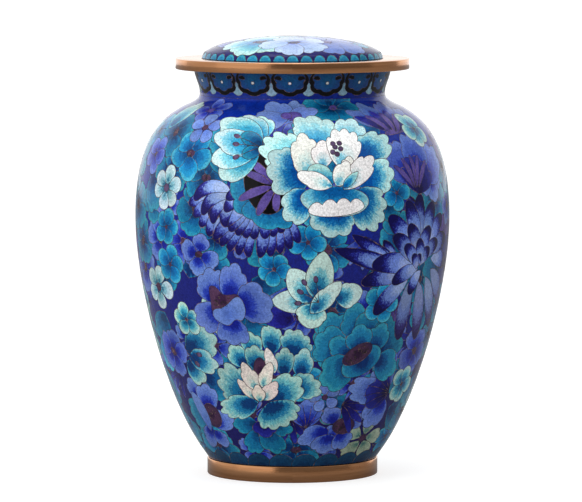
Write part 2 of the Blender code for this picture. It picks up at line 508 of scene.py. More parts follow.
def white_lip(width, height, scallops, at, aim):
    """The turned-over edge of a bowl-shaped petal: a shallow arc below and scallops above."""
    share = np.linspace(-1.0, 1.0, 61)
    arc = np.sqrt(1 - share**2)
    below = -height * 0.45 * arc
    wave = np.abs(np.sin(math.pi * scallops / 2 * (share + 1))) ** 0.7
    above = height * 0.6 * arc**0.6 * (0.5 + 0.5 * wave)
    lower = np.column_stack([share * width / 2, below])
    upper = np.column_stack([share * width / 2, above])
    return shape(np.vstack([lower, upper[-2:0:-1]]), "snow_lip", at, aim)


def half_peony():
    """Petals that fan out to one side of a root, with stamens of wire."""
    flower = Motif()
    flower.lay("foam", (3, 6, -22, 18, 13, 3))
    flower.lay(
        "shell",
        (1, 1, -29, 26, 16, 3),
        (1, 1, -55, 33, 20, 3),
        (0, -2, -124, 28, 17, 3),
        (0, -1, -102, 30, 17, 3),
        (0, 0, -80, 30, 17, 3),
        notch=0.07,
    )
    flower.lay("teal", (1, 1, -60, 15, 9, 0), (1, -1, -110, 12, 8, 0))
    return flower.stamens((0, 0), (-14.7, 6.7), (-14.6, 1.5), (-13.7, -6.3))


def second_peony():
    """A pale flower: rows of petals behind, and a cup of small pointed ones before a dark heart."""
    flower = Motif()
    flower.lay("mist", (-2, 9, -6, 16, 13, 4), (8, 11, 4, 19, 12, 4), (20, 10, 17, 17, 19, 6))
    flower.lay(
        "mist",
        (-7, 3, -36, 16, 12, 3),
        (23, -3, 14, 19, 12, 3),
        (-1, 1, 0, 16, 13, 4),
        (14, -2, 6, 18, 11, 3),
    )
    flower.lay("mist", (17, -10, 76, 18, 17, 5), (4, -18, 52, 25, 19, 5), (-2, -19, -50, 31, 23, 6))
    flower.lay("mist", (-2, -18, -108, 26, 16, 6), (4, -18, 150, 18, 27, 7), point=0.1)
    flower.add(round_shape(3.8, "umber", at=(1.0, 1.5), tall=2.1))
    flower.lay(
        "blush",
        (9, 0, -12, 16, 7, 2),
        (-4, -16, -37, 15, 6, 2),
        (-2, -11, -22, 19, 10, 3),
        point=0.25,
    )
    flower.lay(
        "blush",
        (1, -9, 22, 17, 8, 2),
        (1, -17, 36, 15, 9, 3),
        (-1, -18, -2, 11, 8, 3),
        point=0.15,
    )
    return flower


def teal_peony():
    """A wide teal flower that shows its speckled heart over the edge of its front petal."""
    flower = Motif()
    flower.lay(
        "lagoon",
        (-8, 3, -30, 26, 20, 4),
        (-1, 5, -14, 26, 18, 2),
        (4, 5, 8, 25, 20, 3),
        (-8, 0, -60, 22, 22, 4),
    )
    flower.lay(
        "lagoon",
        (11, 2, 52, 22, 28, 4),
        (9, 1, 20, 18, 16, 3),
        (-5, -2, -44, 17, 13, 2),
        (1, 1, -10, 17, 17, 3),
    )
    flower.lay("lagoon", (12, -4, 112, 20, 20, 3), (-2, -5, -120, 22, 23, 4))
    flower.add(round_shape(13.5, "lagoon", at=(3.5, -4.6), tall=0.6, aim=-30))
    flower.add(round_shape(10.0, "umber", tall=0.52, aim=-30))
    return flower.speckle(np.random.default_rng(2), (0, 0), 8.6, 0.5, 22, -30)


def hollyhock(seed=0):
    """Broad periwinkle petals with cobalt roots; the front one stands before the speckled heart."""
    flower = Motif()
    flower.lay("sky", (-6, -2, -8, 21, 21, 5), (3, 0, 17, 23, 17, 4), (7, -3, 78, 22, 25, 4))
    flower.lay("sky", (-1, -5, -116, 21, 19, 4), (4, -9, -176, 17, 20, 4))
    heart = ((-9.5, 8.5), (-4.5, 8.5), (-0.5, 2.6), (10.0, 5.0), (9.5, -2), (0.1, -8), (-8.5, -8), (-8.5, 0))
    flower.add(shape(rounded(heart), "umber"))
    flower.speckle(np.random.default_rng(seed), (-1.5, -0.5), 5.5, 0.6, 14, -20)
    front = ((-8, -5), (0, -4), (9, 5), (13.5, -4), (10.5, -12), (6, -10), (2, -15), (-4, -13), (-8, -10))
    return flower.add(shape(rounded(front), "pale_sky"))


def lily():
    """Uneven pointed petals with pale tips, and stamens of wire that end in dark anthers."""
    flower = Motif()
    flower.lay(
        "lily",
        (10, -1, 75, 17, 15, 2),
        (0, -2, -89, 26, 14, 0),
        (-3, -3, -34, 24, 15, 0),
        point=0.22,
        square=2.2,
    )
    flower.lay("lily", (-1, -1, 8, 28, 16, 0), point=0.3, square=2.0)
    flower.lay("lily", (-2, -3, -168, 15, 18, 2), (-4, -9, 43, 25, 11, 2), point=0.15, square=2.4)
    return flower.stamens((0.6, -2.7), (-7.9, 9.0), (-1.5, 10.6), (-10.0, 3.6), (-11.0, -3.0))


def fingers(flower, enamel, bend, *rows):
    """Long rounded petals. Each row: root's x and y, aim of its chord, length and width."""
    for x, y, aim, length, width in rows:
        way = 1 if aim > 0 else -1
        form = {"aim": aim - way * bend / 2, "bend": way * bend, "hug": 0.35, "square": 3.4, "swell": 2.2}
        flower.add(petal(length, width, enamel, at=(x, y), **form))
    return flower


def hanging_chrysanthemum():
    """Round-tipped petals that curl over to the left and hang in a fringe below."""
    flower = Motif()
    rows = [(-17 + 1.7 * step, 5 - 2.2 * step, -108 - 15 * step, 18, 7.2) for step in range(5)]
    fingers(flower, "shade", 30, *rows)
    for inset, count, length in ((0.0, 10, 29), (4.0, 9, 21)):
        rows = []
        for step in range(count):
            aim = 138 + 94 * step / (count - 1)
            x, y = 14 - 9 * step / count, 1 + inset * 0.6 - 0.3 * step
            rows.append((x, y, (aim + 180) % 360 - 180, length, 7.6))
        fingers(flower, "shade", 36, *rows)
    fingers(flower, "dusk", 60, (-9, 4, -150, 15, 7.0), (-12, 6, -160, 16, 7.0))
    fingers(flower, "dusk", 105, (-2, 2, -154, 18, 6.6), (-3, 4, -136, 23, 7.0))
    fingers(flower, "dusk", 105, (-4, 5, -119, 26, 7.4), (-6, 7, -102, 28, 7.6))
    return fingers(flower, "dusk", 70, (2, 5, -128, 15, 7.0), (1, 7, -112, 11, 6.0))


def spider_chrysanthemum():
    """Crescents nested round a heart, with long petals that reach out to the left and hang below."""
    flower = Motif()
    flower.lay(
        "night",
        (-19, 2, -37, 14, 7, 0),
        (-19, 0, -56, 21, 7, 0),
        (-20, -1, -57, 33, 8, 0),
        point=0.35,
        square=2.0,
    )
    flower.lay("night", (-15, -4, -73, 45, 10, 0), point=0.4, square=2.0)
    fingers(
        flower, "night", 26,
        (15, 0, 100, 27, 10),
        (12, 4, 76, 26, 11),
        (8, 7, 52, 27, 11),
        (5, 9, 28, 26, 12),
    )
    fingers(flower, "night", 26, (1, 9, 4, 29, 11), (-1, 7, -18, 29, 11), (-4, 4, -42, 30, 11))
    fingers(flower, "night", 40, (-8, -10, -92, 32, 10), (-6, -11, -131, 29, 11))
    fingers(
        flower, "gloom", 16,
        (16, -6, 132, 34, 11),
        (11, -10, 150, 36, 11),
        (4, -12, 168, 36, 11),
        (-3, -10, -176, 36, 11),
    )
    fingers(flower, "night", 46, (-1, -6, -82, 34, 12), (2, -5, -110, 22, 9), (5, -6, -150, 16, 8))
    fingers(
        flower, "night", 60,
        (7, 0, 62, 19, 9),
        (4, 2, 30, 19, 10),
        (-1, 2, -24, 21, 10),
        (-5, -1, -46, 23, 10),
    )
    fingers(flower, "night", 70, (4, -3, 48, 13, 8), (1, -2, -4, 15, 8.5), (-2, -3, -40, 16, 8))
    return fingers(flower, "night", 80, (1, -4, 26, 8, 6), (0, -5, -30, 10, 6))


def purple_strokes():
    """A black patch on a teal flower, with narrow purple petals across it."""
    flower = Motif()
    flower.lay("teal", (0, 8, -36, 20, 26, 2), (0, -4, -80, 22, 32, 3), (2, -10, -165, 16, 30, 4))
    flower.add(round_shape(12.5, "ink", at=(-1.0, 0.5), tall=1.45, aim=-12))
    fingers(
        flower, "violet", 20,
        (4, -3, -16, 13, 4.6),
        (3, -1, -46, 21, 5.0),
        (2, -1, -66, 17, 4.4),
        (3, -2, -112, 21, 5.0),
    )
    return fingers(flower, "violet", 20, (4, -3, -148, 18, 5.2), (6, -4, -176, 12, 4.6))


def top_flower():
    """Periwinkle petals round a violet throat."""
    flower = Motif()
    flower.lay(
        "pale_sky",
        (1, 1, 8, 17, 15, 4),
        (0, 1, -36, 19, 17, 3),
        (2, 1, 60, 17, 16, 3),
        (1, 0, -96, 24, 18, 3),
    )
    return flower.lay("violet", (2, -2, 20, 9, 9, 0), (2, 0, -40, 7, 6, 0))


def fan_of_strokes():
    """Periwinkle petals that spread upwards from narrow purple and dark strokes."""
    flower = Motif()
    flower.lay(
        "sky",
        (-4, 0, -44, 20, 14, 3),
        (10, 0, 58, 24, 15, 4),
        (6, 1, 26, 24, 15, 4),
        (0, 1, -8, 22, 14, 3),
    )
    fingers(
        flower, "indigo", 20,
        (-2, -4, -50, 19, 6),
        (3, -4, -18, 18, 5),
        (6, -5, 12, 18, 5),
        (9, -5, 44, 18, 6),
    )
    return fingers(flower, "violet", 20, (1, -5, -34, 17, 4), (5, -5, -4, 16, 4), (8, -6, 28, 17, 4))


def light_fan():
    """Periwinkle petals behind a spread of narrow purple strokes."""
    flower = Motif()
    flower.lay("periwinkle", (-2, -10, -34, 30, 24, 5), (10, -10, 48, 28, 24, 5), (3, -8, 8, 28, 24, 5))
    flower.lay("indigo", (2, -17, 6, 22, 30, 6))
    return fingers(
        flower, "violet", 24,
        *((0.6 * aim / 10, -13, aim, 19, 3.2) for aim in (-46, -24, -4, 16, 38)),
    )


def mallow(size, seed, enamel="sky", heart="umber", petals=5, lobes=4):
    """Broad petals with scalloped edges round a dark throat."""
    rng = np.random.default_rng(seed)
    flower = Motif()
    flower.ring(
        rng, petals, rng.uniform(0, 72), 0.05 * size, 0.45 * size, 0.46 * size, enamel,
        lobes=lobes, notch=0.10, square=3.4, fan=64,
    )
    flower.add(round_shape(0.1 * size, heart, tall=0.66, aim=rng.uniform(-60, 60)))
    return flower.speckle(rng, (0, 0), 0.08 * size, 0.6, 5, 0)


def peony(size, seed, outer="mist", inner="mist", cup="blush"):
    """A full flower: two rings of scalloped petals, a dark heart and a cup of small petals before it."""
    rng = np.random.default_rng(seed)
    flower = Motif()
    flower.ring(rng, 7, 20, 0.10 * size, 0.40 * size, 0.38 * size, outer, lobes=5, notch=0.11, square=3.2)
    flower.ring(rng, 6, -10, 0.06 * size, 0.29 * size, 0.30 * size, inner, lobes=4, notch=0.12, square=3.0)
    flower.add(round_shape(0.085 * size, "umber", at=(0.0, 0.02 * size), tall=1.25))
    behind = ((-34, -0.06, 0.19, 0.12), (30, 0.07, 0.21, 0.12), (2, 0.12, 0.15, 0.09))
    before = ((-58, -0.05, 0.17, 0.08), (52, 0.05, 0.17, 0.10), (-4, 0.0, 0.11, 0.10))
    for y, rows in ((-0.07, behind), (-0.11, before)):
        for aim, x, length, width in rows:
            form = {"at": (x * size, y * size), "aim": aim, "lobes": 3, "notch": 0.12}
            flower.add(petal(length * size, width * size, cup, **form))
    return flower


def blossom(size, seed, enamel="plum_white", heart="umber", petals=5, lobes=0):
    """A small simple flower."""
    rng = np.random.default_rng(seed)
    flower = Motif()
    flower.ring(
        rng, petals, rng.uniform(0, 72), 0.07 * size, 0.42 * size, 0.36 * size, enamel,
        fan=58, square=3.0, lobes=lobes, notch=0.12,
    )
    return flower.add(round_shape(0.09 * size, heart))


def florets(size, seed, enamel="floret"):
    """A cluster of round petals."""
    rng = np.random.default_rng(seed)
    cluster = Motif()
    start = rng.uniform(0, 360)
    for index in range(5):
        aim = start + 72 * index + rng.uniform(-10, 10)
        long = size * rng.uniform(0.42, 0.5)
        at = towards(aim, 0.03 * size)
        cluster.add(petal(long, 0.42 * size, enamel, at=at, aim=aim, fan=66, square=3))
    return cluster.add(round_shape(0.05 * size, "umber"))


def leaf(length, width, enamel):
    """A broad petal that stands alone."""
    return Motif().add(petal(length, width, enamel, lobes=5, notch=0.10, square=3.2, hug=0.8))


def spray(size, seed, enamel):
    """Narrow strokes that fan out from a stalk."""
    rng = np.random.default_rng(seed)
    fan = Motif()
    for aim in (-48.0, -24.0, 0.0, 24.0, 48.0):
        long = size * rng.uniform(0.8, 1.05)
        fan.add(petal(long, 0.2 * size, enamel, aim=aim, bend=aim * 0.3 + 1, square=2.4, hug=0.3))
    return fan


def threads(size, seed, enamel):
    """Loose wires that fan out and bend, over a dark patch."""
    rng = np.random.default_rng(seed)
    patch = Motif().add(petal(size, 0.95 * size, enamel, lobes=4, notch=0.1, square=3.0))
    for aim in (-50.0, -30.0, -10.0, 10.0, 30.0, 50.0):
        end = np.array(towards(aim, size * rng.uniform(0.6, 0.85)))
        patch.wire([(0.0, 0.0), end * 0.5 + rng.uniform(-0.05, 0.05, 2) * size, end])
    return patch


def side_aqua():
    """Half of an aqua flower, with three dark anthers."""
    flower = Motif()
    flower.lay(
        "mist",
        (-13, 12, 27, 15, 15, 3),
        (-14, -5, 128, 17, 17, 4),
        (-13, 1, 68, 28, 21, 5),
        (-11, -2, 98, 22, 15, 4),
    )
    return flower.stamens((-13, 2), (-9, 13), (-2, 0), (-5, -6))


def low_iris():
    """A periwinkle flower with a brown throat and a long curled petal before it."""
    flower = Motif()
    flower.lay(
        "sky",
        (-3, 6, -23, 15, 13, 3),
        (1, 0, 13, 18, 17, 4),
        (0, -9, 69, 19, 14, 3),
        (-2, -10, -154, 17, 12, 2),
    )
    flower.lay("sky", (0, -13, 150, 12, 11, 2))
    flower.add(round_shape(6.5, "umber", at=(3.0, -3.0), tall=1.2))
    flower.speckle(np.random.default_rng(3), (3, -3), 4.5, 1.1, 6, 0)
    return fingers(flower, "pale_sky", 34, (-3, -14, -15, 26, 8))


def brown_heart():
    """Periwinkle petals spread to one side of a large speckled heart."""
    flower = Motif()
    flower.lay(
        "sky",
        (-8, -2, -117, 18, 15, 3),
        (-6, -5, -170, 14, 18, 4),
        (-1, -4, 150, 13, 14, 3),
        (-5, 2, -30, 13, 12, 3),
    )
    flower.lay("sky", (2, 0, 62, 12, 12, 3))
    flower.add(round_shape(7.0, "umber", at=(1, 0), tall=0.78))
    return flower.speckle(np.random.default_rng(4), (1, 0), 6.0, 0.75, 14, 0)


def cobalt_throat():
    """Petals that hang round a cobalt throat."""
    flower = Motif()
    flower.lay(
        "teal",
        (1, 6, -93, 16, 13, 3),
        (3, 3, -148, 20, 13, 4),
        (6, 4, 172, 19, 15, 4),
        (8, 6, 110, 13, 12, 3),
    )
    return flower.lay("indigo", (4, 9, 178, 12, 14, 3))


def thread_flower():
    """Periwinkle petals round a cobalt throat crossed by loose wires."""
    flower = Motif()
    flower.lay("sky", (2, 0, -30, 24, 19, 5), (1, 0, -79, 28, 17, 5), (2, -2, -157, 21, 20, 4))
    flower.lay("indigo", (5, 0, -80, 19, 22, 4))
    for aim in (-150, -118, -92, -66, -40, -14):
        end = np.array(towards(aim, 15))
        flower.wire([(6.0, 0.0), end * 0.5 + (2.0, 1.0), end])
    return flower


def cloud_outline(width, height, depth):
    """A rounded outline with seven lobes, one of them straight below."""
    turns = np.linspace(0.0, 2 * math.pi, 160, endpoint=False)
    lobe = 1 - depth * (1 - np.abs(np.cos(turns * 3.5)) ** 0.7)
    across, up = (np.sign(way) * np.abs(way) ** 0.92 for way in (np.sin(turns), -np.cos(turns)))
    return np.column_stack([width / 2 * lobe * across, height / 2 * lobe * up])


def cloud_head(width, height):
    """One head of the band round the neck: a black cloud, teal in it, two black hooks and a white pearl."""
    head = Motif().add(shape(cloud_outline(width, height, 0.1), "ink"))
    head.add(shape(cloud_outline(0.84 * width, 0.86 * height, 0.18), "cloud", at=(0.0, 0.06 * height)))
    for side in (-1, 1):
        root = (side * 0.4 * width, 0.1 * height)
        head.add(petal(0.2 * width, 0.1 * width, "ink", at=root, aim=-side * 55, bend=-side * 90, square=4))
    return head.add(round_shape(0.045 * width, "snow_lip", at=(0.0, -0.06 * height)))


# The inlay: cutting the plan into cells, and the wires between them

def inside(points, outline):
    """Which points lie in a closed outline."""
    x, y = points[:, :1], points[:, 1:]
    ax, ay = outline.T
    bx, by = np.roll(outline, -1, axis=0).T
    passes = (ay > y) != (by > y)
    run = np.where(by == ay, 1.0, by - ay)
    return (passes & (x < ax + (y - ay) * (bx - ax) / run)).sum(axis=1) % 2 == 1


def triangulated(points, edges):
    """A triangulation of the plan that keeps the given edges: its points and triangles."""
    cut = delaunay_2d_cdt([Vector(point) for point in points], edges, [], 0, PLAN_TOLERANCE, False)
    return np.array([tuple(place) for place in cut[0]]), np.array(cut[2])


def meeting_lines(triangles, owners):
    """The triangles' sides at which two different cells meet."""
    sides = np.vstack([triangles[:, pair] for pair in ([0, 1], [1, 2], [2, 0])])
    sides = np.sort(sides, axis=1)
    holders = np.tile(owners, 3)
    order = np.lexsort(sides.T)
    sides, holders = sides[order], holders[order]
    meets = (sides[:-1] == sides[1:]).all(axis=1) & (holders[:-1] != holders[1:])
    return sides[:-1][meets]


def loop_edges(start, count):
    return [(start + index, start + (index + 1) % count) for index in range(count)]


class Inlay:
    """Motifs set on a surface one over another, and the cells and wires that they make."""

    def __init__(self, surface, seed):
        self.surface = surface
        self.rng = np.random.default_rng(seed)
        self.copies = []
        self.wires = []
        self.motifs = 0

    def set(self, motif, azimuth, level, turn=0.0):
        """Sets a motif on top of all that were set before."""
        spot = Spot(self.surface, azimuth, level, turn)
        self.motifs += 1
        for lap in self.surface.laps:
            for cell in motif.cells:
                plan = spot.to_plan(cell.outline) + (lap, 0.0)
                if self.surface.holds(plan).any():
                    self.copies.append((cell, spot, lap, self.motifs, plan))
            for wire in motif.wires:
                self.wires.append((self.motifs, spot.to_plan(wire) + (lap, 0.0)))

    def topmost(self, points):
        """The number of the topmost cell at each point, from 1, or 0 for the ground."""
        found = np.zeros(len(points), int)
        order = np.argsort(points[:, 0])
        across = points[order, 0]
        for number, (_, _, _, _, outline) in enumerate(self.copies, start=1):
            low, high = outline.min(axis=0), outline.max(axis=0)
            first, last = np.searchsorted(across, (low[0], high[0]))
            near = order[first:last]
            near = near[(points[near, 1] > low[1]) & (points[near, 1] < high[1])]
            found[near[inside(points[near], outline)]] = number
        return found

    def showing(self, plans):
        """For one list of points to each cell, whether each point is clear of the cells set later."""
        sizes = [len(plan) for plan in plans]
        own = np.repeat(np.arange(1, len(plans) + 1), sizes)
        clear = self.topmost(np.vstack(plans)) <= own
        return np.split(clear, np.cumsum(sizes)[:-1])

    def cut(self):
        """The plan's points, its triangles, the cell of each, and the wires as pairs of points."""
        surface = self.surface
        rim = surface.rim()
        points, edges, total = [rim], loop_edges(0, len(rim)), len(rim)

        # The parts of each outline that show
        outlines = [outline for _, _, _, _, outline in self.copies]
        corners = self.showing(outlines)
        middles = self.showing([(outline + np.roll(outline, -1, axis=0)) / 2 for outline in outlines])
        for outline, corner, middle in zip(outlines, corners, middles):
            shown = np.flatnonzero(corner | middle | np.roll(corner, -1))
            used = np.zeros(len(outline), bool)
            used[shown] = used[(shown + 1) % len(outline)] = True
            number = np.cumsum(used) - 1 + total
            edges.extend(zip(number[shown].tolist(), number[(shown + 1) % len(outline)].tolist()))
            points.append(outline[used])
            total += used.sum()

        # Loose points between them that carry the form and the shading
        none = np.zeros((0, 2))
        loose = [
            spot.to_plan(np.vstack([none, *cell.contours])) + (lap, 0.0)
            for cell, spot, lap, _, _ in self.copies
        ]
        numbers = np.repeat(np.arange(1, len(loose) + 1), [len(plan) for plan in loose])
        loose = np.vstack(loose)
        loose = loose[(self.topmost(loose) == numbers) & surface.holds(loose, 0.3)]
        places, triangles = triangulated(np.vstack([*points, self.grid(), loose]), edges)
        centres = places[triangles].mean(axis=1)
        triangles = triangles[surface.holds(centres)]
        owners = self.topmost(centres[surface.holds(centres)])
        return places, triangles, owners, self.wire_lines(places, meeting_lines(triangles, owners))

    def grid(self):
        """Points in staggered rows over the whole plan, so that no triangle is large enough to show."""
        surface = self.surface
        rows = []
        for row, y in enumerate(np.arange(-surface.top, surface.top, GRID_STEP * 0.87)):
            line = np.arange(-surface.half, surface.half, GRID_STEP) + GRID_STEP / 2 * (row % 2)
            rows.append(np.column_stack([line, np.full_like(line, y)]))
        points = np.vstack(rows)
        return points[surface.holds(points, 0.5 * GRID_STEP)]

    def wire_lines(self, places, lines):
        """Points and pairs of them for the wires between cells and the loose ones."""
        loose = [(motif, plan) for motif, plan in self.wires if self.surface.holds(plan).all()]
        if not loose:
            return places, lines
        sizes = [len(plan) for _, plan in loose]
        points = np.vstack([plan for _, plan in loose])
        wire = np.repeat(np.arange(len(loose)), sizes)
        motifs = np.array([0, *(motif for _, _, _, motif, _ in self.copies)])
        own = np.repeat([motif for motif, _ in loose], sizes)[:-1]
        shows = motifs[self.topmost((points[:-1] + points[1:]) / 2)] == own
        first = np.flatnonzero(shows & (wire[:-1] == wire[1:])) + len(places)
        return np.vstack([places, points]), np.vstack([lines, np.column_stack([first, first + 1])])


# Pieces

class Skin:
    """Triangles with the direction out of the skin at each corner, a finish and the enamel's values."""

    def __init__(self, points, triangles, outward, finish=0, values=None):
        self.points = points
        self.triangles = triangles
        self.outward = outward
        self.finish = finish
        self.values = values or {}


def turned_skin(section, finish=0, closed=False):
    """A section turned about the axis. Corners sharper than the sharp angle stay sharp."""
    section = np.array(section, float)
    if closed:
        section = np.vstack([section, section[:1]])
    step = np.diff(section, axis=0)
    out = np.column_stack([step[:, 1], -step[:, 0]]) / np.hypot(*step.T)[:, None]
    ends = []
    for index, own in enumerate(out):
        for near in (index - 1, index + 1):
            other = out[near % len(out)] if closed or 0 <= near < len(out) else own
            soft = own @ other > math.cos(math.radians(SHARP_ANGLE))
            blend = own + other if soft else own
            ends.append(blend / np.hypot(*blend))
    ends = np.array(ends).reshape(-1, 2, 2)
    turns = np.linspace(0.0, 2 * math.pi, TURNED_STEPS + 1)
    around = np.column_stack([np.sin(turns), -np.cos(turns)])

    points = np.array([(*(radius * way), height) for radius, height in section for way in around])
    triangles, outward = [], []
    row = TURNED_STEPS + 1
    for index in range(len(section) - 1):
        for turn in range(TURNED_STEPS):
            low = index * row + turn
            high = low + row
            corners = ((low, 0, turn), (low + 1, 0, turn + 1), (high + 1, 1, turn + 1), (high, 1, turn))
            for picked in ((0, 1, 2), (0, 2, 3)):
                triangles.append([corners[pick][0] for pick in picked])
                for pick in picked:
                    _, end, way = corners[pick]
                    away, up = ends[index, end]
                    outward.append((*(away * around[way]), up))
    return Skin(points, np.array(triangles), np.array(outward).reshape(-1, 3, 3), finish)


def wire_skin(surface, points, pairs):
    """Low ridges along the wires: a crown between two feet that lie just under the enamel."""
    ridge, out = surface.place(points, -WIRE_CROWN)
    way = ridge[pairs[:, 1]] - ridge[pairs[:, 0]]
    length = np.linalg.norm(way, axis=1)
    long_enough = length > SHORTEST_WIRE
    pairs, way = pairs[long_enough], way[long_enough] / length[long_enough, None]

    ends = pairs.ravel()
    leaving = np.stack([way, -way], axis=1).reshape(-1, 3)
    count = np.bincount(ends, minlength=len(points))
    total = np.zeros((len(points), 3))
    np.add.at(total, ends, leaving)
    through = np.where((count[ends] == 2)[:, None], 2 * leaving - total[ends], leaving)
    through /= np.maximum(np.linalg.norm(through, axis=1), 1e-6)[:, None]
    spread = 1 / np.maximum((through * leaving).sum(axis=1), SHARPEST_MITRE)
    side = (np.cross(out[ends], through) * spread[:, None]).reshape(-1, 2, 3)
    side[:, 1] *= -1

    corners, outward = [], []
    for end in (0, 1):
        place, up, across = ridge[pairs[:, end]], out[pairs[:, end]], side[:, end]
        for reach, lift in ((1, -WIRE_SINK), (0, WIRE_CROWN), (-1, -WIRE_SINK)):
            corners.append(place + across * reach * WIRE_WIDTH / 2 + up * lift)
            outward.append(up + across * reach * WIRE_LEAN)
    corners, outward = np.stack(corners, axis=1), np.stack(outward, axis=1)
    outward /= np.linalg.norm(outward, axis=2)[:, :, None]
    picks = np.array([(0, 1, 4), (0, 4, 3), (1, 2, 5), (1, 5, 4)])
    starts = 6 * np.arange(len(pairs))[:, None, None]
    triangles = (starts + picks).reshape(-1, 3)
    return Skin(corners.reshape(-1, 3), triangles, outward.reshape(-1, 3)[triangles])


def make_piece(name, skins, finishes, slot, *nodes):
    """One piece of one or more skins, joined where their points meet."""
    starts = np.cumsum([0, *(len(skin.points) for skin in skins)])
    points = np.vstack([skin.points for skin in skins])
    triangles = np.vstack([skin.triangles + start for skin, start in zip(skins, starts)])
    outward = np.vstack([skin.outward for skin in skins])
    finish = np.concatenate([np.full(len(skin.triangles), skin.finish) for skin in skins])

    near = np.round(points, MERGE_DIGITS)
    _, first, back = np.unique(near, axis=0, return_index=True, return_inverse=True)
    triangles = back.reshape(-1)[triangles]
    whole = (triangles != np.roll(triangles, 1, axis=1)).all(axis=1)
    mesh = bpy.data.meshes.new(name)
    mesh.from_pydata((points[first] * MM).tolist(), [], triangles[whole].tolist())
    mesh.shade_smooth()
    for material in finishes:
        mesh.materials.append(material)
    mesh.polygons.foreach_set("material_index", finish[whole].astype(np.int32))

    rest = sum(len(skin.triangles) for skin in skins[1:])
    for label, (domain, kind, values) in skins[0].values.items():
        values = values.reshape(len(skins[0].triangles), -1)
        padded = np.vstack([values, np.zeros((rest, values.shape[1]))])[whole]
        field = {"FLOAT": "value", "FLOAT_VECTOR": "vector", "FLOAT_COLOR": "color"}[kind]
        mesh.attributes.new(label, kind, domain).data.foreach_set(field, padded.ravel())
    mesh.normals_split_custom_set(outward[whole].reshape(-1, 3).tolist())

    piece = bpy.data.objects.new(name, mesh)
    bpy.context.scene.collection.objects.link(piece)
    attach(piece, "root")
    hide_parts(*nodes)
    return piece


def enamel_skin(inlay, plan, triangles, owners):
    """The enamel's triangles with their cells' colours, and how far each corner is from root to edge.

    The ground between the cells has its tone by height instead, which makes it darker towards the bottom as
    painted shade.
    """
    surface, rng = inlay.surface, inlay.rng
    points, outward = surface.place(plan, -WIRE_CROWN)
    tone = np.zeros((len(triangles), 3))
    grain = np.zeros((len(triangles), 3, 3))
    colours = {stop: np.ones((len(triangles), 4)) for stop in STOPS}
    bands = np.zeros((len(triangles), 3))
    order = np.argsort(owners, kind="stable")
    limits = np.searchsorted(owners[order], np.arange(len(inlay.copies) + 2))
    for number in range(len(inlay.copies) + 1):
        mine = order[limits[number]:limits[number + 1]]
        if not len(mine):
            continue
        corners = plan[triangles[mine]].reshape(-1, 2)
        enamel = "ground"
        # The ground's tone is its height: darker towards the bottom, as painted shade
        tone[mine] = (corners[:, 1] / surface.top).reshape(-1, 3)
        if number:
            cell, spot, lap, _, _ = inlay.copies[number - 1]
            own = spot.from_plan(corners - (lap, 0.0))
            enamel = cell.enamel
            tone[mine] = cell.shade(own).reshape(-1, 3)
            corners = cell.grain(own)
        grain[mine, :, :2] = corners.reshape(-1, 3, 2)
        grain[mine, :, 2] = GRAIN_SHIFT * number
        shift = rng.uniform(*CELL_SHADES) * rng.uniform(*CELL_TINTS, 3) if number else np.ones(3)
        for stop, colour in zip(STOPS, ENAMELS[enamel]):
            colours[stop][mine, :3] = np.minimum(linear(colour) * shift, LIGHTEST)
        bands[mine] = ENAMELS[enamel][4]
    values = {
        "tone": ("CORNER", "FLOAT", tone),
        "grain": ("CORNER", "FLOAT_VECTOR", grain),
        "bands": ("FACE", "FLOAT_VECTOR", bands),
        **{stop: ("FACE", "FLOAT_COLOR", colours[stop]) for stop in STOPS},
    }
    return Skin(points, triangles, outward[triangles], 0, values)


# Finishes

class Value:
    """A number that the shader works out, for use in sums."""

    def __init__(self, finish, socket):
        self.finish = finish
        self.socket = socket

    def math(self, operation, *others):
        return self.finish.math(operation, self, *others)

    def __add__(self, other):
        return self.math("ADD", other)

    def __sub__(self, other):
        return self.math("SUBTRACT", other)

    def __rsub__(self, other):
        return self.finish.math("SUBTRACT", other, self)

    def __mul__(self, other):
        return self.math("MULTIPLY", other)

    def __pow__(self, other):
        return self.math("POWER", other)

    __radd__ = __add__
    __rmul__ = __mul__


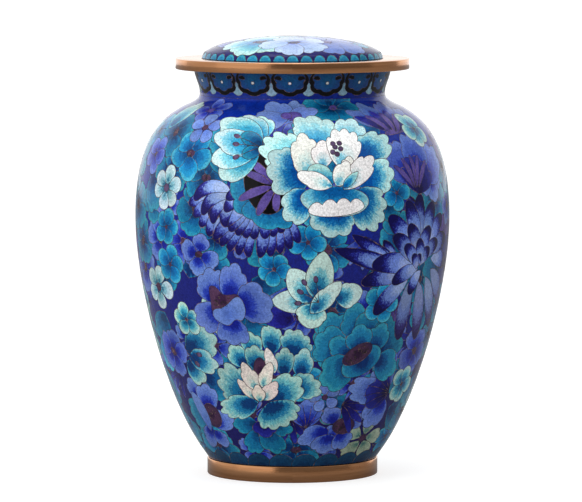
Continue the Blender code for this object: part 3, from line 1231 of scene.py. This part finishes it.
class Finish:
    """A material made of nodes."""

    def __init__(self, name):
        self.material = bpy.data.materials.new(name)
        self.material.use_nodes = True
        self.tree = self.material.node_tree
        self.shader = self.tree.nodes["Principled BSDF"]

    def node(self, kind, settings, inputs, output=0):
        """A node with its settings and inputs, as the value of one of its outputs."""
        node = self.tree.nodes.new(kind)
        for name, setting in settings.items():
            setattr(node, name, setting)
        for name, value in inputs.items():
            self.feed(node.inputs[name], value)
        return Value(self, node.outputs[output])

    def feed(self, socket, value):
        if isinstance(value, Value):
            self.tree.links.new(value.socket, socket)
        else:
            socket.default_value = value

    def math(self, operation, *values):
        return self.node("ShaderNodeMath", {"operation": operation}, dict(enumerate(values)))

    def attribute(self, name, output):
        return self.node("ShaderNodeAttribute", {"attribute_name": name}, {}, output)

    def place(self):
        """Where the shaded point is on the object, in mm."""
        spot = self.node("ShaderNodeTexCoord", {}, {}, "Object")
        return self.scaled(spot, (1 / MM,) * 3)

    def scaled(self, vector, by):
        return self.node("ShaderNodeVectorMath", {"operation": "MULTIPLY"}, {0: vector, 1: by})

    def split(self, vector):
        return [self.node("ShaderNodeSeparateXYZ", {}, {0: vector}, axis) for axis in "XYZ"]

    def joined(self, x, y, z):
        return self.node("ShaderNodeCombineXYZ", {}, {0: x, 1: y, 2: z})

    def noise(self, vector, scale=1.0, detail=2.0, roughness=0.5):
        inputs = {"Vector": vector, "Scale": scale, "Detail": detail, "Roughness": roughness}
        return self.node("ShaderNodeTexNoise", {}, inputs)

    def cells(self, vector, scale=1.0):
        return self.node("ShaderNodeTexVoronoi", {}, {"Vector": vector, "Scale": scale}, "Distance")

    def step(self, value, low, high, low_to=0.0, high_to=1.0):
        """A soft step from one value to another as the given value passes from low to high."""
        inputs = {"Value": value, "From Min": low, "From Max": high, "To Min": low_to, "To Max": high_to}
        return self.node("ShaderNodeMapRange", {"interpolation_type": "SMOOTHSTEP"}, inputs)

    def mix(self, first, second, share):
        return self.node("ShaderNodeMix", {"data_type": "RGBA"}, {0: share, 6: first, 7: second}, 2)

    def tinted(self, colour, by):
        """A colour made lighter or darker."""
        return self.node("ShaderNodeVectorMath", {"operation": "SCALE"}, {0: colour, "Scale": by})

    def bump(self, height, distance):
        return self.node("ShaderNodeBump", {}, {"Height": height, "Distance": distance})

    def set(self, **inputs):
        for name, value in inputs.items():
            self.feed(self.shader.inputs[name.replace("_", " ")], value)
        return self.material


def flower_enamel():
    """Enamel that was laid as powder: grainy where two colours meet, speckled and faintly rippled."""
    finish = Finish("flower_enamel")
    place = finish.place()
    frit = finish.noise(place, 0.9, 3.0, 0.75)
    cloud = finish.noise(place, 0.22, 2.0)
    grain = finish.scaled(finish.attribute("grain", "Vector"), (0.75, 0.1, 1.0))
    streak = finish.noise(grain, 1.0, 2.0, 0.6)
    tone = finish.attribute("tone", "Fac")
    tone = tone + (frit - 0.5) * 0.46 + (streak - 0.5) * 0.2 + (cloud - 0.5) * 0.1

    colour = finish.attribute("root", "Color")
    for stop, band in zip(STOPS[1:], finish.split(finish.attribute("bands", "Vector"))):
        share = finish.step(tone, band - 0.07, band + 0.07)
        colour = finish.mix(colour, finish.attribute(stop, "Color"), share)

    grains = finish.noise(place, 0.95, 4.0, 0.8)
    dust = finish.step(finish.cells(place, 0.9), 0.0, 0.22, 0.86, 1.0)
    shade = (0.82 + (grains - 0.5) * 1.7 + (cloud - 0.5) * 0.3 + (streak - 0.5) * 0.25) * dust
    ripple = finish.noise(place, 0.28, 1.0)
    pits = finish.step(finish.cells(place, 0.55), 0.0, 0.08)
    return finish.set(
        Base_Color=finish.tinted(colour, shade * 1.12),
        Roughness=0.1 + cloud * 0.08 + (1 - pits) * 0.3,
        Specular_IOR_Level=0.16,
        Normal=finish.bump(ripple * 0.00006 + pits * 0.00002, 1.0),
    )


def counter_enamel():
    """The plain dark enamel of the surfaces that are out of sight."""
    finish = Finish("counter_enamel")
    place = finish.place()
    grains = finish.noise(place, 0.9, 3.0, 0.7)
    cloud = finish.noise(place, 0.05, 2.0)
    colour = finish.mix((0.010, 0.030, 0.130, 1.0), (0.016, 0.075, 0.200, 1.0), cloud)
    return finish.set(
        Base_Color=finish.tinted(colour, 0.7 + grains * 0.6),
        Roughness=0.2 + grains * 0.14,
        Normal=finish.bump(cloud * 0.0002 + grains * 0.00002, 1.0),
    )


def wire_copper():
    """Fine copper wire, bright copper as painted glints on some stretches and near black as painted shade on
    most.
    """
    finish = Finish("wire_copper")
    place = finish.place()
    dullness_and_glint_noise = finish.noise(place, 0.35, 3.0, 0.6)
    painted_shade_share = finish.step(dullness_and_glint_noise, 0.3, 0.53)
    return finish.set(
        # Painted light in the wire's colour: the bright copper stands for glints and the near black for
        # shade
        Base_Color=finish.mix((0.26, 0.155, 0.13, 1.0), (0.025, 0.018, 0.026, 1.0), painted_shade_share),
        Metallic=0.45,
        Specular_IOR_Level=0.2,
        Roughness=0.34 + dullness_and_glint_noise * 0.24,
    )


def brushed_copper():
    """Copper turned on a lathe: fine lines run round it, some deeper than others."""
    finish = Finish("brushed_copper")
    x, y, z = finish.split(finish.place())
    radius = (x * x + y * y) ** 0.5
    turn = finish.math("ARCTAN2", x, y)
    lines = finish.noise(finish.joined(radius * 6.0, z * 6.0, turn * 0.5), 1.0, 4.0, 0.7)
    broad = finish.noise(finish.joined(radius * 0.6, z * 0.6, turn * 1.2), 1.0, 2.0)
    tarnish = finish.step(broad + lines * 0.3, 0.45, 0.9)
    colour = finish.mix((0.64, 0.31, 0.145, 1.0), (0.50, 0.225, 0.10, 1.0), tarnish)
    return finish.set(
        Base_Color=finish.tinted(colour, 0.84 + lines * 0.3),
        Metallic=1.0,
        Roughness=0.1 + lines * 0.1,
        Normal=finish.bump(lines, 0.00002),
    )


# The flowers' places: degrees round the urn to the right of its front, and mm above what it stands on

def set_filling(inlay, rng):
    """Middling flowers and leaves over the whole wall, which show between the large ones."""
    kinds = (
        lambda seed: florets(25, seed, rng.choice(["floret", "teal", "lagoon"])),
        lambda seed: mallow(31, seed, rng.choice(["lagoon", "teal"])),
        lambda seed: mallow(30, seed, rng.choice(["sky", "periwinkle"])),
        lambda seed: leaf(24, 22, rng.choice(["teal", "lagoon", "floret"])),
        lambda seed: blossom(25, seed, rng.choice(["sky", "aqua", "periwinkle"]), lobes=3),
        lambda seed: spray(20, seed, rng.choice(["violet", "indigo", "periwinkle"])),
    )
    for row, level in enumerate(np.arange(22, 214, 19.5)):
        radius = np.interp(level, inlay.surface.height, inlay.surface.radius)
        count = round(2 * math.pi * radius / 22)
        for index in range(count):
            kind = kinds[rng.integers(len(kinds))]
            azimuth = 360 * (index + 0.5 * (row % 2) + rng.uniform(-0.2, 0.2)) / count - 180
            motif = kind(int(rng.integers(10**6)))
            inlay.set(motif, azimuth, level + rng.uniform(-4, 4), rng.uniform(0, 360))


def set_front(inlay):
    """The flowers on the side that is seen first, from the lowest layer to the topmost."""
    placed = (
        # foot of the wall
        (blossom(30, 13, "celadon", lobes=3), 43, 25, 20),
        (threads(19, 14, "periwinkle"), 7, 33, 0),
        (cobalt_throat(), -18.6, 29.7, 0),
        (brown_heart(), 26.6, 33.4, 0),
        (low_iris(), -47, 41, 0),
        (spray(22, 16, "indigo"), 24, 46, 100),
        (blossom(19, 17, "pale_sky"), 15, 51, 0),
        (thread_flower(), 46.9, 51, 0),
        (mallow(30, 18, "periwinkle"), 63, 74, 0),
        (florets(24, 19, "aqua"), 60, 55, 10),
        # lower belly
        (side_aqua(), -41, 74, 0),
        (florets(21, 21, "aqua"), -46, 94, 0),
        (mallow(30, 20, "periwinkle"), -60, 74, 0),
        (blossom(28, 22, "plum_white"), -61, 111, 0),
        (teal_peony(), 28, 75.6, 0),
        (second_peony(), -14.5, 65.3, 0),
        # upper belly
        (leaf(20, 13, "indigo"), 1, 96, -80),
        (florets(24, 24, "floret"), 36, 104, 40),
        (spider_chrysanthemum(), 52, 127, 0),
        (florets(22, 26, "floret"), 5.5, 140, 0),
        (florets(21, 27, "floret"), -6.6, 125, 0),
        (florets(21, 28, "floret"), 41, 166, 0),
        (florets(24, 29, "floret"), -51, 125, 0),
        (florets(22, 25, "floret"), -52, 146, 40),
        (mallow(26, 30, "sky", "umber", 4, 3), -36, 132, 0),
        (lily(), 9.5, 108.7, 0),
        (hollyhock(), -26.6, 106.2, 0),
        (hanging_chrysanthemum(), -18.6, 160, 0),
        (purple_strokes(), -9, 173, 0),
        (blossom(26, 36, "plum_white", "anther", 6), -53, 168, 0),
        (light_fan(), 52, 181, 0),
        # shoulder
        (florets(24, 38, "periwinkle"), -66, 186, 0),
        (mallow(31, 39, "floret", "umber", 5, 2), -43, 188, 0),
        (mallow(32, 45, "teal", "violet", 6, 2), 23, 213, 0),
        (fan_of_strokes(), 45, 203, 0),
        (florets(26, 44, "aqua"), 64, 200, 0),
        (leaf(26, 18, "aqua"), -66, 200, 0),
        (blossom(24, 42, "periwinkle", "violet"), -47, 211, 0),
        (blossom(23, 41, "pale_sky"), -41, 202, 0),
        (top_flower(), -2.6, 207.7, 0),
        (half_peony(), -12.6, 192.6, 0),
        (great_peony(), 14.1, 182.8, 0),
    )
    for motif, azimuth, level, turn in placed:
        inlay.set(motif, azimuth, level, turn)


def set_back(inlay, rng):
    """Large flowers of the same kinds round the sides and the back."""
    kinds = (
        lambda seed: peony(58, seed),
        lambda seed: hanging_chrysanthemum(),
        lambda seed: teal_peony(),
        lambda seed: hollyhock(seed),
        lambda seed: lily(),
        lambda seed: peony(56, seed, "surf", "foam", "snow"),
        lambda seed: mallow(44, seed, "sky"),
        lambda seed: blossom(30, seed, "plum_white"),
        lambda seed: second_peony(),
    )
    pick = 0
    for level, count in ((44, 6), (88, 6), (134, 6), (180, 6), (26, 5)):
        for index in range(count):
            azimuth = 86 + (index + 0.5 * (pick % 2 == 0)) * 190 / count + rng.uniform(-3, 3)
            motif = kinds[pick % len(kinds)](100 + pick)
            inlay.set(motif, azimuth, level + rng.uniform(-6, 6), rng.uniform(-25, 25))
            pick += 4


def strip(tall, enamel):
    """One enamel all the way round, upwards from its level."""
    corners = [(-BAND_REACH, 0), (BAND_REACH, 0), (BAND_REACH, tall), (-BAND_REACH, tall)]
    return Motif().add(shape(corners, enamel))


def set_bands(inlay):
    """The scallops at the foot of the wall and the cloud band round the neck."""
    for index in range(FOOT_SCALLOPS):
        scallop = petal(15.2, 14.6, "deep_teal", at=(0.0, -6.4), fan=80, square=3)
        inlay.set(Motif().add(scallop), 360 / FOOT_SCALLOPS * index - 172, FOOT_BAND_LEVEL)
    inlay.set(strip(30, "ground"), 0, NECK_GROUND_LEVEL)
    inlay.set(strip(20, "cloud"), 0, NECK_BAND_LEVEL)
    for index in range(NECK_HEADS):
        pendant = petal(8.0, 7.4, "pearl", fan=85, square=4)
        inlay.set(Motif().add(pendant), 360 / NECK_HEADS * index - 170.2, PENDANT_LEVEL)
    for index in range(NECK_HEADS):
        inlay.set(cloud_head(21.6, 17.4), 360 / NECK_HEADS * index - 181.5, HEAD_LEVEL)


def set_dome(inlay):
    """The lid's dome: lappets round its base and flowers over the top."""
    rng = np.random.default_rng(7)
    for azimuth in range(0, 360, 30):
        inlay.set(florets(24, azimuth, ("floret", "periwinkle")[azimuth // 30 % 2]), azimuth + 15, 34)
        inlay.set(florets(22, azimuth + 1, "teal"), azimuth, 20)
    inlay.set(peony(46, 5, "foam", "surf", "snow"), 180, 6)
    inlay.set(mallow(46, 8, "foam", "indigo"), -36, 31, 20)
    inlay.set(mallow(44, 9, "pale_sky", "violet"), 38, 31)
    inlay.set(mallow(40, 6, "frost", "indigo"), 2, 31, 14)
    inlay.set(lily(), 180, 30, 180)
    inlay.set(mallow(36, 11, "sky"), 115, 31)
    inlay.set(mallow(36, 12, "periwinkle"), 245, 31)
    for index in range(DOME_LAPPETS):
        lappet = petal(10.0, 7.6, "lagoon", at=(0.0, -6.0), fan=80, square=4)
        azimuth = 360 / DOME_LAPPETS * index + rng.uniform(-0.3, 0.3)
        inlay.set(Motif().add(lappet), azimuth, inlay.surface.top)


# Building the urn

def dress_wall(inlay):
    rng = np.random.default_rng(3)
    set_filling(inlay, rng)
    set_back(inlay, rng)
    set_front(inlay)
    set_bands(inlay)


def build_enamelled(name, wire_name, surface, seed, dress, rest, node):
    """An enamelled piece and its wires, which together stand for one node."""
    inlay = Inlay(surface, seed)
    dress(inlay)
    plan, triangles, owners, (wire_points, wire_pairs) = inlay.cut()
    skins = [enamel_skin(inlay, plan, triangles, owners)]
    skins += [turned_skin(section, 1) for section in rest]
    make_piece(name, skins, [ENAMEL, COUNTER], "enamel", node)
    make_piece(wire_name, [wire_skin(surface, wire_points, wire_pairs)], [WIRE], "copper", node)


ENAMEL = flower_enamel()
COUNTER = counter_enamel()
WIRE = wire_copper()
COPPER = brushed_copper()

body_section = half_section("urn_body")
lip = max(range(len(body_section)), key=lambda index: (body_section[index][1], body_section[index][0]))
build_enamelled(
    "enamelled_body", "body_wires", Wall(body_section[1:lip + 1]), 1, dress_wall,
    (body_section[:2], body_section[lip:]), "urn_body",
)

dome_section = half_section("lid_dome")
brim = max(range(len(dome_section)), key=lambda index: dome_section[index][0])
build_enamelled(
    "enamelled_dome", "dome_wires", Dome(dome_section[:brim - 1:-1]), 2, set_dome,
    (dome_section[:brim + 1],), "lid_dome",
)

for name, node in (("copper_foot_ring", "foot_ring"), ("copper_lid_rim", "lid_rim")):
    make_piece(name, [turned_skin(half_section(node), closed=True)], [COPPER], "copper", node)


# Studio

def add_panel(name, centre, facing, width, height, finish):
    """A flat panel that faces a point."""
    mesh = bpy.data.meshes.new(name)
    corners = [(-1, -1), (1, -1), (1, 1), (-1, 1)]
    mesh.from_pydata([(x * width / 2, y * height / 2, 0.0) for x, y in corners], [], [(0, 1, 2, 3)])
    mesh.materials.append(finish)
    panel = bpy.data.objects.new(name, mesh)
    panel.location = centre
    panel.rotation_euler = (Vector(facing) - Vector(centre)).to_track_quat("Z", "Y").to_euler()
    bpy.context.scene.collection.objects.link(panel)
    return panel


def add_light(name, centre, facing, width, height, power):
    data = bpy.data.lights.new(name, "AREA")
    data.shape = "RECTANGLE"
    data.size = width
    data.size_y = height
    data.energy = power
    light = bpy.data.objects.new(name, data)
    light.location = centre
    light.rotation_euler = (Vector(facing) - Vector(centre)).to_track_quat("-Z", "Y").to_euler()
    bpy.context.scene.collection.objects.link(light)
    return light


def plain(name, shade, glow=0.0):
    """A grey cloth or paper that may shine by itself, hardly uneven."""
    finish = Finish(name)
    grain = finish.noise(finish.place(), 0.02, 2.0)
    light, dark = ((part, part, part, 1.0) for part in (shade, shade * 0.97))
    colour = finish.mix(light, dark, grain)
    return finish.set(
        Base_Color=colour,
        Roughness=0.9,
        Emission_Color=colour,
        Emission_Strength=glow / shade,
    )


world = bpy.data.worlds.new("studio")
world.use_nodes = True
world.node_tree.nodes["Background"].inputs["Strength"].default_value = 0.8
world.node_tree.nodes["Background"].inputs["Color"].default_value = (1.0, 1.0, 1.0, 1.0)
bpy.context.scene.world = world
bpy.context.scene.view_settings.view_transform = "Standard"

# The floor and the backdrop are seen by the camera alone, and what lights the urn is darker
floor = add_panel("floor", (0, 0, 0), (0, 0, 1), 16.0, 16.0, plain("white_paper", 0.4, 0.72))
backdrop = add_panel("backdrop", (0, 7.5, 1.0), (0, 0, 1.0), 16.0, 8.0, plain("white_wall", 0.4, 0.9))
for panel in (floor, backdrop):
    panel.visible_diffuse = False
    panel.visible_glossy = False
bounce = add_panel("bounce", (0, 0, -0.003), (0, 0, 1), 8.0, 8.0, plain("grey_paper", 0.4))
bounce.visible_camera = False

# Panels that show only as reflections: dark ones right of the camera, light ones left of it and behind
for name, centre, facing, width, height, cloth, glow in (
    ("flag", (1.68, -2.95, 0.6), (0.0, 0.0, 0.15), 9.8, 3.6, "dark_cloth", 0.15),
    ("side_flag", (3.28, 0.88, 0.6), (0.0, 0.0, 0.15), 2.6, 3.6, "grey_cloth", 0.35),
    ("softbox", (-2.68, -2.09, 0.6), (0.0, 0.0, 0.15), 3.6, 3.6, "lit_cloth", 1.0),
    ("back_glow", (0.0, 5.5, 1.6), (0.0, 0.0, 1.6), 14.0, 5.0, "lit_wall", 1.3),
):
    panel = add_panel(name, centre, facing, width, height, plain(cloth, 0.05, glow))
    panel.visible_camera = False
    panel.visible_diffuse = False
    panel.visible_shadow = False
key_light = add_light("key_light", (-1.42, -1.42, 0.75), (0, 0, 0.13), 1.5, 1.6, 19.0)
key_light.visible_glossy = False
add_light("top_light", (-0.1, -0.2, 1.8), (0, 0, 0.13), 1.0, 1.0, 9.0)

camera_data = bpy.data.cameras.new("camera")
camera_data.lens = 303
camera_data.sensor_width = 36
camera_data.dof.use_dof = False
camera = bpy.data.objects.new("camera", camera_data)
camera.location = (-0.0008, -2.8, 0.367)
look_at = Vector((-0.0008, 0.0, 0.1277))
camera.rotation_euler = (look_at - camera.location).to_track_quat("-Z", "Y").to_euler()
bpy.context.scene.collection.objects.link(camera)
bpy.context.scene.camera = camera
